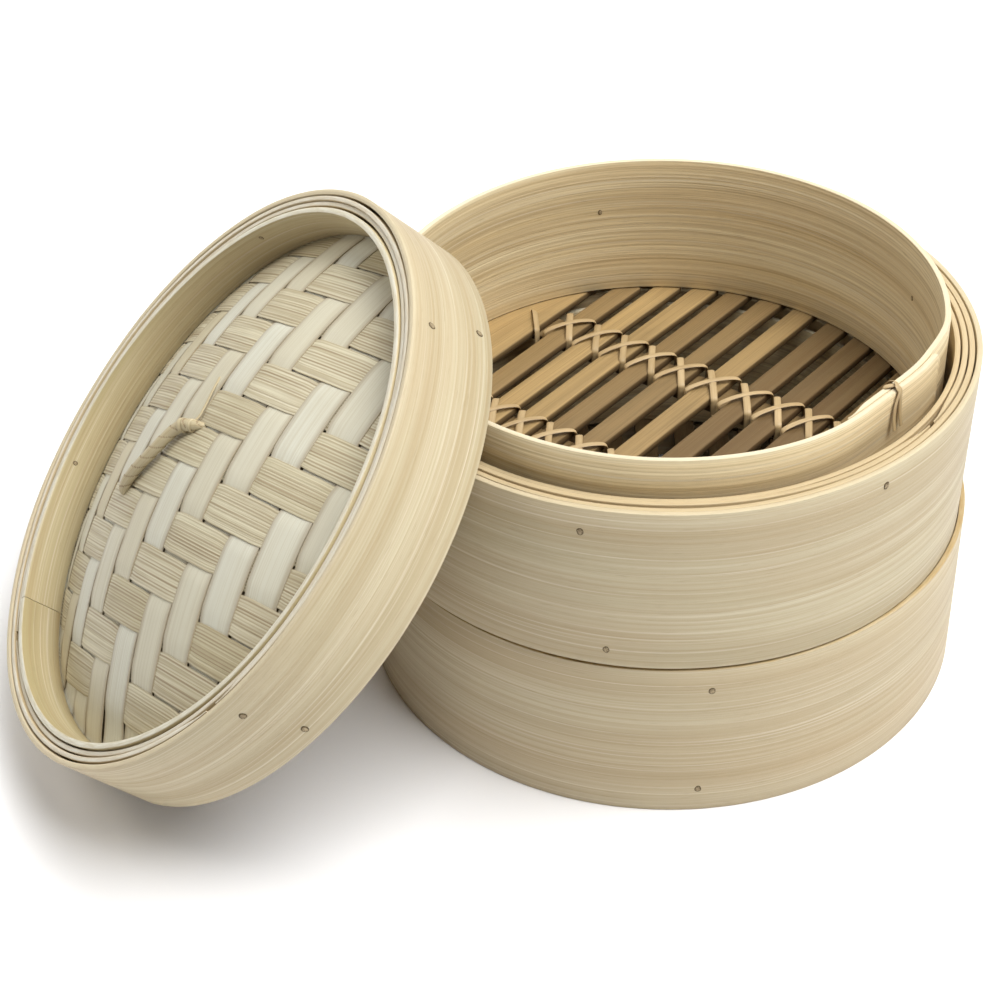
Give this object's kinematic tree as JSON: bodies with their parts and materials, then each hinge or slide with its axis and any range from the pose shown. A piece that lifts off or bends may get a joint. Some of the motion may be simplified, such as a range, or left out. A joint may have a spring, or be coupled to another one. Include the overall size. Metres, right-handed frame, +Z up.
{
  "type": "bamboo steamer basket",
  "caption": "Stacking bamboo steamer basket: laced slat floors in layered hoops, tall seating rings, and a domed woven lid that leans on the stack; tiers and lid lift off.",
  "frame": {"origin": "on the floor under the middle of the whole arrangement, the stack of tiers with the lid leaning against it", "axes": "+Z up along the stack axis, +X from the leaning lid towards the stack, +Y completes a right-handed frame"},
  "size_m": [0.328, 0.2032, 0.1685],
  "materials": {
    "hoop_bamboo": "pale bamboo skin strip, satin",
    "ring_bamboo": "golden bamboo strip with fine streaks, satin",
    "slat_bamboo": "split bamboo, dry",
    "cane": "split cane, satin",
    "woven_bamboo": "thin bamboo strips, smooth and ribbed",
    "peg_bamboo": "cut bamboo end grain"
  },
  "bodies": {
    "lower_tier": {"lower_batten_a": "slat_bamboo", "lower_batten_b": "slat_bamboo", "lower_floor_ring": "hoop_bamboo", "lower_hoop_layer_2": "hoop_bamboo", "lower_hoop_layer_3": "hoop_bamboo", "lower_hoop_layer_4": "hoop_bamboo", "lower_inner_ring": "ring_bamboo", "lower_lacing_a": "cane", "lower_lacing_b": "cane", "lower_outer_hoop": "hoop_bamboo", "lower_peg_front": "peg_bamboo", "lower_ring_lashing": "cane", "lower_slat_01": "slat_bamboo", "lower_slat_02": "slat_bamboo", "lower_slat_03": "slat_bamboo", "lower_slat_04": "slat_bamboo", "lower_slat_05": "slat_bamboo", "lower_slat_06": "slat_bamboo", "lower_slat_07": "slat_bamboo", "lower_slat_08": "slat_bamboo", "lower_slat_09": "slat_bamboo", "lower_slat_10": "slat_bamboo", "lower_slat_11": "slat_bamboo", "lower_slat_12": "slat_bamboo", "lower_slat_13": "slat_bamboo"},
    "upper_tier": {"upper_batten_a": "slat_bamboo", "upper_batten_b": "slat_bamboo", "upper_floor_ring": "hoop_bamboo", "upper_hoop_layer_2": "hoop_bamboo", "upper_hoop_layer_3": "hoop_bamboo", "upper_hoop_layer_4": "hoop_bamboo", "upper_inner_ring": "ring_bamboo", "upper_lacing_a": "cane", "upper_lacing_b": "cane", "upper_outer_hoop": "hoop_bamboo", "upper_peg_left": "peg_bamboo", "upper_peg_right": "peg_bamboo", "upper_ring_lashing": "cane", "upper_slat_01": "slat_bamboo", "upper_slat_02": "slat_bamboo", "upper_slat_03": "slat_bamboo", "upper_slat_04": "slat_bamboo", "upper_slat_05": "slat_bamboo", "upper_slat_06": "slat_bamboo", "upper_slat_07": "slat_bamboo", "upper_slat_08": "slat_bamboo", "upper_slat_09": "slat_bamboo", "upper_slat_10": "slat_bamboo", "upper_slat_11": "slat_bamboo", "upper_slat_12": "slat_bamboo", "upper_slat_13": "slat_bamboo"},
    "lid": {"lid_band": "hoop_bamboo", "lid_handle": "cane", "lid_layer_2": "hoop_bamboo", "lid_layer_3": "hoop_bamboo", "lid_lower_inner_ring": "hoop_bamboo", "lid_peg_front": "peg_bamboo", "lid_peg_right": "peg_bamboo", "lid_upper_inner_ring": "hoop_bamboo", "lid_woven_cover": "woven_bamboo"}
  },
  "joints": [
    {"name": "upper_tier_lift", "type": "slide", "parent": "lower_tier", "child": "upper_tier", "axis": [0, 0, 1], "range_m": [0, 0.15]},
    {"name": "lid_lift", "type": "slide", "parent": "upper_tier", "child": "lid", "axis": [0, 0, 1], "range_m": [0, 0.15]}
  ]
}
